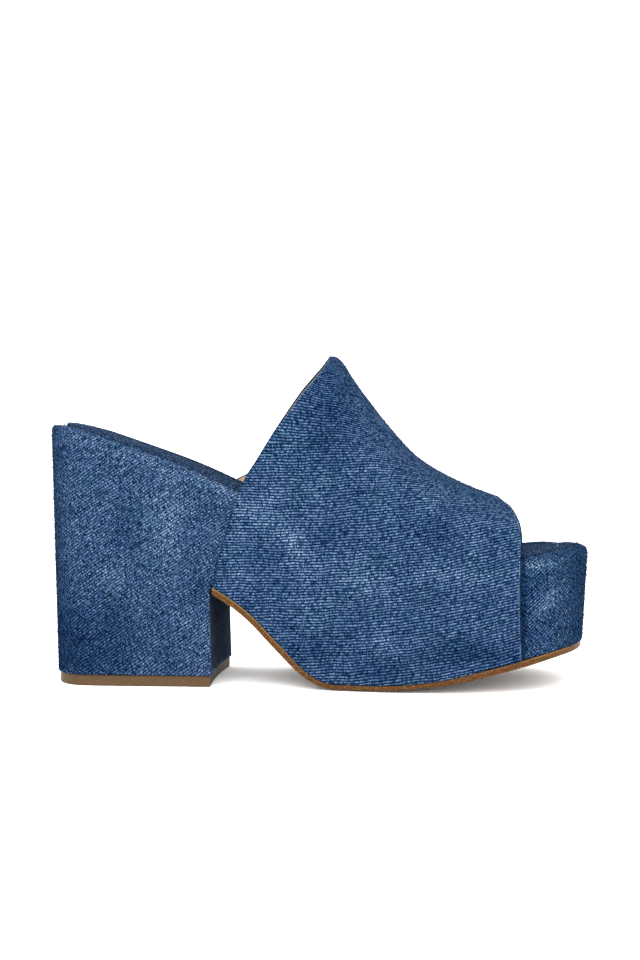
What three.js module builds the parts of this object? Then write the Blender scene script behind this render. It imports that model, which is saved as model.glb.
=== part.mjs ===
// A right-foot platform mule in denim: open toe, high throat, covered block heel and leather outsole.
// Millimetres, +X towards the toe, +Y towards the inner side of the foot, +Z up.
// The origin is on the floor, under the middle of the heel's top lift.
import * as THREE from "three";
import { mergeVertices } from "three/addons/utils/BufferGeometryUtils.js";

// Driving sizes
const SHOE_LENGTH = 229.2; // back of the heel to the tip of the toe, measured along the floor
const BALL_WIDTH = 84; // over the platform at the ball of the foot, without the upper
const HEEL_HEIGHT = 109; // edge of the footbed above the floor, near the back of the heel
const BALL_HEIGHT = 50.6; // edge of the footbed above the floor, under the ball
const THROAT_HEIGHT = 138.4; // highest point of the upper above the floor
const UPPER_WALL = 2; // denim and its leather lining together
const INSOLE_THICKNESS = 1.3; // padded insole at its edge
const INSOLE_CROWN = 0.3; // how much more it is padded along its middle
const INSOLE_INSET = 2; // its edge, in from the edge of the platform along the sides
const INSOLE_HEEL_INSET = 7.5; // the same at the back of the heel
const INSOLE_TOE_INSET = 12.5; // the same at the tip of the toe
const OUTSOLE_THICKNESS = 2.6; // measured square to the sole
const OUTSOLE_SHY = 0.5; // the sole's edge, in from the face of the upper
const ARCH_HEIGHT = 38.4; // underside of the sole above the floor where it meets the heel
const TOE_SPRING = 17; // underside of the sole above the floor at the tip of the toe
const BREAST_AT = 73.1; // front face of the heel at the floor, from the back of the shoe
const BREAST_HOLLOW = 1.3; // how deep the front face of the heel is hollowed across
const HEEL_JOINT_AT = 91; // where the top of the heel meets the platform, from the back
const HEEL_ROUND = 22; // length of the rounding at the back of the heel, seen from above
const TOE_ROUND = 42; // length of the rounding at the toe, seen from above
const LIFT_THICKNESS = 4.5; // top lift, the wearing piece under the heel
const LIFT_SHY = 0.9; // its edge, in from the covered heel
const LIFT_CHAMFER = 0.3; // along the lift's lower edge
const SOLE_BEVEL = 0.4; // how far the sole's lower edge draws in
const SOLE_BEVEL_SHARE = 0.25; // part of the sole's thickness that the bevel takes
const SOLE_CUP = 0.65; // how far the sole's edges rise from the floor at the ball
const EDGE_ROUND = 3.4; // roll of the covering over the platform's top edge
const HEEL_EDGE_ROUND = 2.2; // the same at the top of the heel
const CLEARANCE = 0.3; // between pieces that touch

// How far the covered sides lean in, for each millimetre below the footbed
const SIDE_LEAN = 0.008;
const BACK_LEAN = 0.033;
const TOE_LEAN = 0.062;
const BREAST_LEAN = 0.03;

// How sharply the hollow of the heel's front face is gathered at that face
const HOLLOW_GATHER = 8;

// Roundness of the outlines: 2 is an ellipse, more is squarer
const HEEL_SQUARENESS = 2.5;
const TOE_SQUARENESS = 2.9;

// Where the upper ends at the sole, and over what length the sole then draws in, as shares of the length
const UPPER_FRONT = 0.872;
const DRAW_IN = 0.046;

// Where the sole is cupped across, as shares of the length: from nothing to full, and back to nothing
const CUP_FADES = { from: [0.44, 0.52], to: [0.7, 0.8] };

// Part of the half girth that lies on the platform's side; the rest goes over the foot
const FLANK_SHARE = 0.4;

// The last, seen from above and from the side. along is a share of the length, lateral and medial of the
// ball width. rise is a share of what the heel stands above the ball, crest of the throat height, and
// domeness is the roundness of the section over the foot.
const LAST = [
  { along: 0.0, lateral: 0.374, medial: 0.364, rise: 1.0, crest: 1.3, domeness: 2.2 },
  { along: 0.055, lateral: 0.382, medial: 0.371, rise: 0.98, crest: 1.28, domeness: 2.2 },
  { along: 0.11, lateral: 0.387, medial: 0.374, rise: 0.915, crest: 1.26, domeness: 2.2 },
  { along: 0.165, lateral: 0.389, medial: 0.373, rise: 0.84, crest: 1.24, domeness: 2.2 },
  { along: 0.24, lateral: 0.389, medial: 0.37, rise: 0.736, crest: 1.225, domeness: 2.2 },
  { along: 0.3, lateral: 0.39, medial: 0.366, rise: 0.635, crest: 1.21, domeness: 2.2 },
  { along: 0.36, lateral: 0.393, medial: 0.359, rise: 0.524, crest: 1.19, domeness: 2.2 },
  { along: 0.436, lateral: 0.408, medial: 0.354, rise: 0.372, crest: 1.12, domeness: 2.15 },
  { along: 0.482, lateral: 0.421, medial: 0.357, rise: 0.272, crest: 1.072, domeness: 2.1 },
  { along: 0.519, lateral: 0.432, medial: 0.365, rise: 0.2, crest: 1.003, domeness: 2.1 },
  { along: 0.534, lateral: 0.437, medial: 0.369, rise: 0.175, crest: 1.0, domeness: 2.1 },
  { along: 0.576, lateral: 0.455, medial: 0.392, rise: 0.1, crest: 0.909, domeness: 2.1 },
  { along: 0.634, lateral: 0.478, medial: 0.432, rise: 0.038, crest: 0.784, domeness: 2.15 },
  { along: 0.688, lateral: 0.496, medial: 0.467, rise: 0.006, crest: 0.688, domeness: 2.25 },
  { along: 0.743, lateral: 0.503, medial: 0.488, rise: 0.003, crest: 0.631, domeness: 2.35 },
  { along: 0.8, lateral: 0.501, medial: 0.496, rise: 0.026, crest: 0.588, domeness: 2.45 },
  { along: 0.87, lateral: 0.489, medial: 0.492, rise: 0.067, crest: 0.549, domeness: 2.5 },
  { along: 0.92, lateral: 0.474, medial: 0.484, rise: 0.096, crest: 0.53, domeness: 2.5 },
  { along: 1.0, lateral: 0.45, medial: 0.468, rise: 0.137, crest: 0.51, domeness: 2.5 },
];

// Underside of the sole. arch is a share of the arch height, spring of the toe spring.
const UNDERSIDE = [
  { along: 0.3, arch: 1.055, spring: 0 },
  { along: 0.319, arch: 1.0, spring: 0 },
  { along: 0.356, arch: 0.862, spring: 0 },
  { along: 0.389, arch: 0.7, spring: 0 },
  { along: 0.421, arch: 0.5, spring: 0 },
  { along: 0.453, arch: 0.308, spring: 0 },
  { along: 0.475, arch: 0.175, spring: 0 },
  { along: 0.496, arch: 0.083, spring: 0 },
  { along: 0.517, arch: 0.021, spring: 0 },
  { along: 0.541, arch: 0, spring: 0 },
  { along: 0.61, arch: 0, spring: 0 },
  { along: 0.656, arch: 0, spring: 0.03 },
  { along: 0.69, arch: 0, spring: 0.08 },
  { along: 0.728, arch: 0, spring: 0.155 },
  { along: 0.769, arch: 0, spring: 0.28 },
  { along: 0.811, arch: 0, spring: 0.43 },
  { along: 0.86, arch: 0, spring: 0.6 },
  { along: 0.9, arch: 0, spring: 0.73 },
  { along: 0.94, arch: 0, spring: 0.855 },
  { along: 1.0, arch: 0, spring: 1.0 },
];

// Back edge of the upper. around is a share of the half girth, from the sole to the crest of the instep.
// lateral and medial are how far along the shoe the edge lies on each side, as shares of the length.
const BACK_EDGE = [
  { around: 0.0, lateral: 0.3215, medial: 0.3203 },
  { around: 0.11, lateral: 0.3318, medial: 0.321 },
  { around: 0.24, lateral: 0.3465, medial: 0.3215 },
  { around: 0.36, lateral: 0.362, medial: 0.3225 },
  { around: 0.4, lateral: 0.3684, medial: 0.3237 },
  { around: 0.417, lateral: 0.3756, medial: 0.346 },
  { around: 0.43, lateral: 0.382, medial: 0.36 },
  { around: 0.46, lateral: 0.3969, medial: 0.386 },
  { around: 0.52, lateral: 0.4225, medial: 0.4155 },
  { around: 0.58, lateral: 0.446, medial: 0.442 },
  { around: 0.64, lateral: 0.4675, medial: 0.465 },
  { around: 0.73, lateral: 0.4939, medial: 0.4924 },
  { around: 0.85, lateral: 0.5147, medial: 0.514 },
  { around: 0.93, lateral: 0.522, medial: 0.5215 },
  { around: 1.0, lateral: 0.5232, medial: 0.5232 },
];

// Front edge of the upper, in the same columns
const FRONT_EDGE = [
  { around: 0.0, lateral: 0.8676, medial: 0.8716 },
  { around: 0.1, lateral: 0.8661, medial: 0.87 },
  { around: 0.25, lateral: 0.8643, medial: 0.8683 },
  { around: 0.4, lateral: 0.8658, medial: 0.8696 },
  { around: 0.5, lateral: 0.8671, medial: 0.8705 },
  { around: 0.58, lateral: 0.8662, medial: 0.8692 },
  { around: 0.69, lateral: 0.8612, medial: 0.8634 },
  { around: 0.8, lateral: 0.8528, medial: 0.8543 },
  { around: 0.9, lateral: 0.8395, medial: 0.84 },
  { around: 1.0, lateral: 0.8378, medial: 0.8378 },
];

// Colours, roughness and metalness of each piece
const DENIM = { color: 0x3c577c, roughness: 0.9, metalness: 0 };
const TAN_LEATHER = { color: 0x8c6946, roughness: 0.6, metalness: 0 };
const LIFT_RUBBER = { color: 0x796046, roughness: 0.65, metalness: 0 };

// Heights of the rings of facets, as shares of a wall's height
const BREAST_RINGS = [0, 0.4, 0.75, 1];
const JOINT_RINGS = [0.25, 0.5, 0.75];
const PLATFORM_RINGS = [0, 0.25, 0.5, 0.75];

// Number of facets
const GIRTH_STEPS = 60;
const UPPER_STEPS = 22;
const ROUND_STEPS = 10;
const HEEL_STEPS = 8;
const FOREPART_STEPS = 18;
const ACROSS_STEPS = 4;
const ROLL_STEPS = 3;
const HALVINGS = 40; // steps that the search for a crossing takes
const SAME_PLACE = 2e-3; // how near two corners are to be one

const { lerp, clamp, smoothstep } = THREE.MathUtils;

// A column of a table read at any place, through a smooth curve that never overshoots its rows.
function reader(table, key, column) {
  const at = table.map((row) => row[key]);
  const value = table.map((row) => row[column]);
  const steep = at.slice(1).map((next, i) => (value[i + 1] - value[i]) / (next - at[i]));
  const slope = at.map((_, i) => {
    if (i === 0) return steep[0];
    if (i === at.length - 1) return steep[i - 1];
    if (steep[i - 1] * steep[i] <= 0) return 0;
    return (2 * steep[i - 1] * steep[i]) / (steep[i - 1] + steep[i]);
  });
  return (place) => {
    const x = clamp(place, at[0], at[at.length - 1]);
    const i = Math.max(0, at.findIndex((next, k) => k > 0 && x <= next) - 1);
    const span = at[i + 1] - at[i];
    const t = (x - at[i]) / span;
    const ease = t * t * (3 - 2 * t);
    const bend = t * (1 - t) * ((1 - t) * slope[i] - t * slope[i + 1]) * span;
    return lerp(value[i], value[i + 1], ease) + bend;
  };
}

// Where a falling function of a length crosses zero.
function crossing(fall, low, high) {
  for (let i = 0; i < HALVINGS; i++) {
    const middle = (low + high) / 2;
    if (fall(middle) > 0) low = middle;
    else high = middle;
  }
  return (low + high) / 2;
}

const lastColumn = {};
for (const column of ["lateral", "medial", "rise", "crest", "domeness"]) {
  lastColumn[column] = reader(LAST, "along", column);
}
const archShare = reader(UNDERSIDE, "along", "arch");
const springShare = reader(UNDERSIDE, "along", "spring");

// Height of the footbed's edge above the floor.
function rim(x) {
  return BALL_HEIGHT + lastColumn.rise(x / SHOE_LENGTH) * (HEEL_HEIGHT - BALL_HEIGHT);
}

function soleBottom(x) {
  const along = x / SHOE_LENGTH;
  return ARCH_HEIGHT * archShare(along) + TOE_SPRING * springShare(along);
}

function soleTop(x) {
  const step = 0.5;
  const slope = (soleBottom(x + step) - soleBottom(x - step)) / (2 * step);
  return soleBottom(x) + OUTSOLE_THICKNESS * Math.hypot(1, slope);
}

// Half width of the footbed on one side, without the rounding at heel and toe.
function halfWidth(x, side) {
  return BALL_WIDTH * lastColumn[side](x / SHOE_LENGTH);
}

// Face of the platform and heel on one side, a given drop below the footbed.
function flank(x, side, drop) {
  return halfWidth(x, side) - SIDE_LEAN * drop;
}

// Front face of the heel: leaning back up to the sole, then forward along the joint with the platform.
const jointFoot = soleTop(BREAST_AT);
const jointLean = (HEEL_JOINT_AT - BREAST_AT + BREAST_LEAN * jointFoot) / (rim(HEEL_JOINT_AT) - jointFoot);
function heelFront(z) {
  const breast = BREAST_AT - BREAST_LEAN * Math.min(z, jointFoot);
  return breast + jointLean * Math.max(0, z - jointFoot);
}

// One place along an outline that is round at the heel, straight between and round at the toe. It gives x
// and what share of the full width the outline has there.
function outline(share, { from, to, heelRound = 0, toeRound = 0, steps }) {
  const { heel = 0, straight, toe = 0 } = steps;
  const place = share * (heel + straight + toe);
  if (place < heel) {
    const turn = (place / heel) * (Math.PI / 2);
    const back = Math.cos(turn) ** (2 / HEEL_SQUARENESS);
    return { x: heelRound - (heelRound - from) * back, full: Math.sin(turn) ** (2 / HEEL_SQUARENESS) };
  }
  const low = heel ? heelRound : from;
  const high = toe ? SHOE_LENGTH - toeRound : to;
  if (place <= heel + straight) {
    return { x: lerp(low, high, (place - heel) / straight), full: 1 };
  }
  const turn = ((place - heel - straight) / toe) * (Math.PI / 2);
  const front = Math.sin(turn) ** (2 / TOE_SQUARENESS);
  return { x: high + (to - high) * front, full: Math.max(0, Math.cos(turn)) ** (2 / TOE_SQUARENESS) };
}

// A closed mesh from loose triangles: corners that coincide are joined and slivers with no area are dropped.
function closed(positions) {
  const loose = new THREE.BufferGeometry();
  loose.setAttribute("position", new THREE.Float32BufferAttribute(positions, 3));
  const joined = mergeVertices(loose, SAME_PLACE);
  const kept = [];
  for (let i = 0; i < joined.index.count; i += 3) {
    const [a, b, c] = [0, 1, 2].map((k) => joined.index.getX(i + k));
    if (a !== b && b !== c && c !== a) kept.push(a, b, c);
  }
  joined.setIndex(kept);
  joined.computeVertexNormals();
  return joined;
}

function quad(positions, a, b, c, d) {
  for (const p of [a, b, c, a, c, d]) positions.push(p.x, p.y, p.z);
}

// A solid stacked from rings. corner(along, across, ring) gives a point, with along and across from 0 to 1.
// The first ring is closed below, the last above, and the rings' edges are joined into the side wall.
function stack(corner, alongSteps, acrossSteps, rings) {
  const positions = [];
  const point = (i, j, ring) => corner(i / alongSteps, j / acrossSteps, ring);
  const top = rings.length - 1;
  for (let i = 0; i < alongSteps; i++) {
    for (let j = 0; j < acrossSteps; j++) {
      quad(positions, point(i, j, rings[0]), point(i, j + 1, rings[0]),
        point(i + 1, j + 1, rings[0]), point(i + 1, j, rings[0]));
      quad(positions, point(i, j, rings[top]), point(i + 1, j, rings[top]),
        point(i + 1, j + 1, rings[top]), point(i, j + 1, rings[top]));
    }
  }
  const edge = [];
  for (let i = 0; i < alongSteps; i++) edge.push([i, 0]);
  for (let j = 0; j < acrossSteps; j++) edge.push([alongSteps, j]);
  for (let i = alongSteps; i > 0; i--) edge.push([i, acrossSteps]);
  for (let j = acrossSteps; j > 0; j--) edge.push([0, j]);
  edge.forEach(([i, j], k) => {
    const [nextI, nextJ] = edge[(k + 1) % edge.length];
    for (let r = 0; r < top; r++) {
      quad(positions, point(i, j, rings[r]), point(nextI, nextJ, rings[r]),
        point(nextI, nextJ, rings[r + 1]), point(i, j, rings[r + 1]));
    }
  });
  return closed(positions);
}

// Rings that roll a top edge over: up is the share of the height, inset how far in and drop how far down.
function rolledEdge(radius) {
  return Array.from({ length: ROLL_STEPS + 1 }, (_, i) => {
    const turn = (i / ROLL_STEPS) * (Math.PI / 2);
    return { up: 1, inset: radius * (1 - Math.cos(turn)), drop: radius * (1 - Math.sin(turn)) };
  });
}

function across(lateral, medial, share) {
  return lerp(-lateral, medial, share);
}

// How far the front face of the heel is hollowed at a place along and across it.
function hollow(along, share) {
  return BREAST_HOLLOW * (1 - (2 * share - 1) ** 2) * along ** HOLLOW_GATHER;
}

function topLift() {
  const height = rim(HEEL_ROUND) - LIFT_THICKNESS;
  const corner = (u, v, ring) => {
    const inset = LIFT_SHY + ring.inset;
    const { x, full } = outline(u, {
      from: BACK_LEAN * height + inset, to: BREAST_AT - inset,
      heelRound: HEEL_ROUND, steps: { heel: ROUND_STEPS, straight: HEEL_STEPS },
    });
    const width = (side) => full * (flank(x, side, rim(x) - LIFT_THICKNESS) - inset);
    const y = across(width("lateral"), width("medial"), v);
    return new THREE.Vector3(x - hollow(u, v), y, ring.up * LIFT_THICKNESS);
  };
  const rings = [
    { up: 0, inset: LIFT_CHAMFER },
    { up: LIFT_CHAMFER / LIFT_THICKNESS, inset: 0 },
    { up: 1, inset: 0 },
  ];
  return stack(corner, ROUND_STEPS + HEEL_STEPS, ACROSS_STEPS, rings);
}

function heel() {
  const base = LIFT_THICKNESS + CLEARANCE;
  const frontAt = (up) => crossing(
    (x) => heelFront(lerp(base, rim(x), up)) - x,
    BREAST_AT / 2, HEEL_JOINT_AT + HEEL_ROUND,
  );
  const corner = (u, v, ring) => {
    const height = lerp(base, rim(HEEL_ROUND), ring.up);
    const { x, full } = outline(u, {
      from: BACK_LEAN * (rim(HEEL_ROUND) - height) + ring.inset, to: frontAt(ring.up),
      heelRound: HEEL_ROUND, steps: { heel: ROUND_STEPS, straight: HEEL_STEPS },
    });
    const z = lerp(base, rim(x), ring.up) - ring.drop;
    const width = (side) => full * (flank(x, side, rim(x) - z) - ring.inset);
    const fade = z < jointFoot - CLEARANCE ? 1 : 0;
    return new THREE.Vector3(x - fade * hollow(u, v), across(width("lateral"), width("medial"), v), z);
  };
  const jointUp = (jointFoot - base) / (rim(BREAST_AT) - base);
  const below = BREAST_RINGS.map((share) => share * jointUp);
  const above = JOINT_RINGS.map((share) => lerp(jointUp, 1, share));
  const walls = [...below, ...above].map((up) => ({ up, inset: 0, drop: 0 }));
  return stack(corner, ROUND_STEPS + HEEL_STEPS, ACROSS_STEPS, [...walls, ...rolledEdge(HEEL_EDGE_ROUND)]);
}

function platform() {
  const base = (x) => soleTop(x) + CLEARANCE;
  const backAt = (up) => crossing(
    (x) => heelFront(lerp(base(x), rim(x), up)) + CLEARANCE - x,
    BREAST_AT / 2, HEEL_JOINT_AT + HEEL_ROUND,
  );
  const corner = (u, v, ring) => {
    const toeDrop = (1 - ring.up) * (rim(SHOE_LENGTH) - soleTop(SHOE_LENGTH));
    const { x, full } = outline(u, {
      from: backAt(ring.up), to: SHOE_LENGTH - TOE_LEAN * toeDrop - ring.inset,
      toeRound: TOE_ROUND, steps: { straight: FOREPART_STEPS, toe: ROUND_STEPS },
    });
    const z = lerp(base(x), rim(x), ring.up) - ring.drop;
    const width = (side) => full * (flank(x, side, rim(x) - z) - ring.inset);
    return new THREE.Vector3(x, across(width("lateral"), width("medial"), v), z);
  };
  const walls = PLATFORM_RINGS.map((up) => ({ up, inset: 0, drop: 0 }));
  const rings = [...walls, ...rolledEdge(EDGE_ROUND)];
  return stack(corner, FOREPART_STEPS + ROUND_STEPS, ACROSS_STEPS, rings);
}

function insole() {
  const corner = (u, v, ring) => {
    const inset = INSOLE_INSET + ring.inset;
    const { x, full } = outline(u, {
      from: INSOLE_HEEL_INSET + ring.inset, to: SHOE_LENGTH - INSOLE_TOE_INSET - ring.inset,
      heelRound: HEEL_ROUND, toeRound: TOE_ROUND,
      steps: { heel: ROUND_STEPS, straight: FOREPART_STEPS, toe: ROUND_STEPS },
    });
    const width = (side) => full * (halfWidth(x, side) - inset);
    const crown = ring.up * full * INSOLE_CROWN * (1 - (2 * v - 1) ** 2);
    const z = rim(x) + CLEARANCE + ring.up * INSOLE_THICKNESS - ring.drop + crown;
    return new THREE.Vector3(x, across(width("lateral"), width("medial"), v), z);
  };
  const rings = [{ up: 0, inset: 0, drop: 0 }, ...rolledEdge(INSOLE_THICKNESS / 2)];
  return stack(corner, 2 * ROUND_STEPS + FOREPART_STEPS, ACROSS_STEPS + 2, rings);
}

// How far the outsole stands out past the platform: under the upper it carries the upper's wall as well.
function soleReach(x) {
  const share = smoothstep(x / SHOE_LENGTH, UPPER_FRONT, UPPER_FRONT + DRAW_IN);
  return lerp(CLEARANCE + UPPER_WALL, 0, share) - OUTSOLE_SHY;
}

// How far the sole's underside rises at a place along and across it. Its middle half is flat.
function cup(x, share) {
  const along = x / SHOE_LENGTH;
  const fade = smoothstep(along, ...CUP_FADES.from) - smoothstep(along, ...CUP_FADES.to);
  return SOLE_CUP * fade * Math.max(0, 2 * Math.abs(2 * share - 1) - 1) ** 2;
}

function outsole() {
  const corner = (u, v, ring) => {
    const toeDrop = rim(SHOE_LENGTH) - soleTop(SHOE_LENGTH);
    const { x, full } = outline(u, {
      from: BREAST_AT + CLEARANCE, to: SHOE_LENGTH - TOE_LEAN * toeDrop - OUTSOLE_SHY - ring.inset,
      toeRound: TOE_ROUND, steps: { straight: 2 * FOREPART_STEPS, toe: ROUND_STEPS },
    });
    const width = (side) => full * (flank(x, side, rim(x) - soleTop(x)) + soleReach(x) - ring.inset);
    const z = lerp(soleBottom(x) + cup(x, v), soleTop(x), ring.up);
    return new THREE.Vector3(x, across(width("lateral"), width("medial"), v), z);
  };
  const rings = [
    { up: 0, inset: SOLE_BEVEL },
    { up: SOLE_BEVEL_SHARE, inset: 0 },
    { up: 1, inset: 0 },
  ];
  return stack(corner, 2 * FOREPART_STEPS + ROUND_STEPS, ACROSS_STEPS, rings);
}

const backEdge = {};
const frontEdge = {};
for (const side of ["lateral", "medial"]) {
  backEdge[side] = reader(BACK_EDGE, "around", side);
  frontEdge[side] = reader(FRONT_EDGE, "around", side);
}

// The upper's outer face. along runs from its back edge to its front edge, and girth from -1 at the sole
// on the lateral side, over the crest at 0, to 1 at the sole on the medial side.
function upperFace(along, girth) {
  const side = girth < 0 ? "lateral" : "medial";
  const sign = girth < 0 ? -1 : 1;
  const around = 1 - Math.abs(girth);
  const x = SHOE_LENGTH * lerp(backEdge[side](around), frontEdge[side](around), along);
  const standOff = CLEARANCE + UPPER_WALL;
  if (around < FLANK_SHARE) {
    const z = lerp(soleTop(x) + CLEARANCE, rim(x), around / FLANK_SHARE);
    return new THREE.Vector3(x, sign * (flank(x, side, rim(x) - z) + standOff), z);
  }
  const turn = ((around - FLANK_SHARE) / (1 - FLANK_SHARE)) * (Math.PI / 2);
  const power = 2 / lastColumn.domeness(x / SHOE_LENGTH);
  const width = halfWidth(x, side) + standOff;
  const crest = THROAT_HEIGHT * lastColumn.crest(x / SHOE_LENGTH);
  const y = width * Math.max(0, Math.cos(turn)) ** power;
  return new THREE.Vector3(x, sign * y, lerp(rim(x), crest, Math.sin(turn) ** power));
}

function upperNormal(along, girth) {
  const step = 1e-3;
  const ahead = upperFace(Math.min(1, along + step), girth);
  const behind = upperFace(Math.max(0, along - step), girth);
  const over = upperFace(along, Math.min(1, girth + step));
  const under = upperFace(along, Math.max(-1, girth - step));
  return ahead.sub(behind).cross(over.sub(under)).normalize();
}

function upper() {
  const positions = [];
  const outer = (i, j) => upperFace(i / UPPER_STEPS, (2 * j) / GIRTH_STEPS - 1);
  const inner = (i, j) => {
    const [along, girth] = [i / UPPER_STEPS, (2 * j) / GIRTH_STEPS - 1];
    return upperFace(along, girth).addScaledVector(upperNormal(along, girth), -UPPER_WALL);
  };
  for (let i = 0; i < UPPER_STEPS; i++) {
    for (let j = 0; j < GIRTH_STEPS; j++) {
      quad(positions, outer(i, j), outer(i + 1, j), outer(i + 1, j + 1), outer(i, j + 1));
      quad(positions, inner(i, j), inner(i, j + 1), inner(i + 1, j + 1), inner(i + 1, j));
    }
    quad(positions, outer(i, 0), inner(i, 0), inner(i + 1, 0), outer(i + 1, 0));
    quad(positions, outer(i, GIRTH_STEPS), outer(i + 1, GIRTH_STEPS),
      inner(i + 1, GIRTH_STEPS), inner(i, GIRTH_STEPS));
  }
  for (let j = 0; j < GIRTH_STEPS; j++) {
    quad(positions, outer(0, j), outer(0, j + 1), inner(0, j + 1), inner(0, j));
    quad(positions, outer(UPPER_STEPS, j), inner(UPPER_STEPS, j),
      inner(UPPER_STEPS, j + 1), outer(UPPER_STEPS, j + 1));
  }
  return closed(positions);
}

function piece(name, geometry, finish) {
  const mesh = new THREE.Mesh(geometry, new THREE.MeshStandardMaterial(finish));
  mesh.name = name;
  return mesh;
}

const liftBack = BACK_LEAN * (rim(HEEL_ROUND) - LIFT_THICKNESS) + LIFT_SHY;
const liftMiddle = (liftBack + BREAST_AT - LIFT_SHY) / 2;

const mule = new THREE.Group();
mule.add(
  piece("top_lift", topLift(), LIFT_RUBBER),
  piece("heel", heel(), DENIM),
  piece("platform", platform(), DENIM),
  piece("outsole", outsole(), TAN_LEATHER),
  piece("insole", insole(), DENIM),
  piece("upper", upper(), DENIM),
);
mule.position.x = -liftMiddle;

export default mule;
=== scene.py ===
"""Dresses a right-foot denim platform mule: denim, lining, leather edge, lint, stage and camera.

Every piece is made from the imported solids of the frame, in metres, and stays where they are.
"""

import logging
import math
from dataclasses import dataclass
from enum import Enum
from typing import Callable

import bmesh
import bpy
import numpy as np
from mathutils import Euler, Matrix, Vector

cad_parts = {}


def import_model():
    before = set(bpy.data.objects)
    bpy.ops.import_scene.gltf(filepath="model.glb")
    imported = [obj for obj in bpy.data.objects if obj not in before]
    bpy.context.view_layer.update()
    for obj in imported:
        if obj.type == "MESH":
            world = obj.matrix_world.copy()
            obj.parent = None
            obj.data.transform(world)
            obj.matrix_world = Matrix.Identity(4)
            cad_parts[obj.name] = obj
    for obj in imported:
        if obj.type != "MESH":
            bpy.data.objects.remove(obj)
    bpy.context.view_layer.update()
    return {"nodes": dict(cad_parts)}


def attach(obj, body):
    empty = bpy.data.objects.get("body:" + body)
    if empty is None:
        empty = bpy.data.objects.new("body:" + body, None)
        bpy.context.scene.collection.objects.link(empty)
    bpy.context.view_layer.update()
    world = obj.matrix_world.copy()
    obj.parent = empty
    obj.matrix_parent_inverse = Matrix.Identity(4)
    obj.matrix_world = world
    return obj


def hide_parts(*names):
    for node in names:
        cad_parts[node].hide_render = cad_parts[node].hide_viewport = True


LOG = logging.getLogger("mule")
MM = 0.001
BODY = "root"

Colour = tuple[float, float, float]
Shade = tuple[int, int, int]
Place = tuple[float, float, float]
Socket = bpy.types.NodeSocket
Feed = Socket | float | tuple
Choice = Callable[[np.ndarray, np.ndarray], np.ndarray]


def srgb(red: int, green: int, blue: int) -> Colour:
    """Linear colour of an sRGB colour given from 0 to 255.

    Args:
        red: Red, 0 to 255.
        green: Green, 0 to 255.
        blue: Blue, 0 to 255.

    Returns:
        The linear red, green and blue, 0 to 1.
    """
    shares = (c / 255 for c in (red, green, blue))
    return tuple(c / 12.92 if c <= 0.04045 else ((c + 0.055) / 1.055) ** 2.4 for c in shares)


class Slot(Enum):
    """Material slots, which settle takes but does not use."""

    UPPER = "upper_denim"
    COVER = "cover_denim"
    INSOLE = "insole_denim"
    SOLE = "sole_leather"
    LIFT = "lift_rubber"


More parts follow.
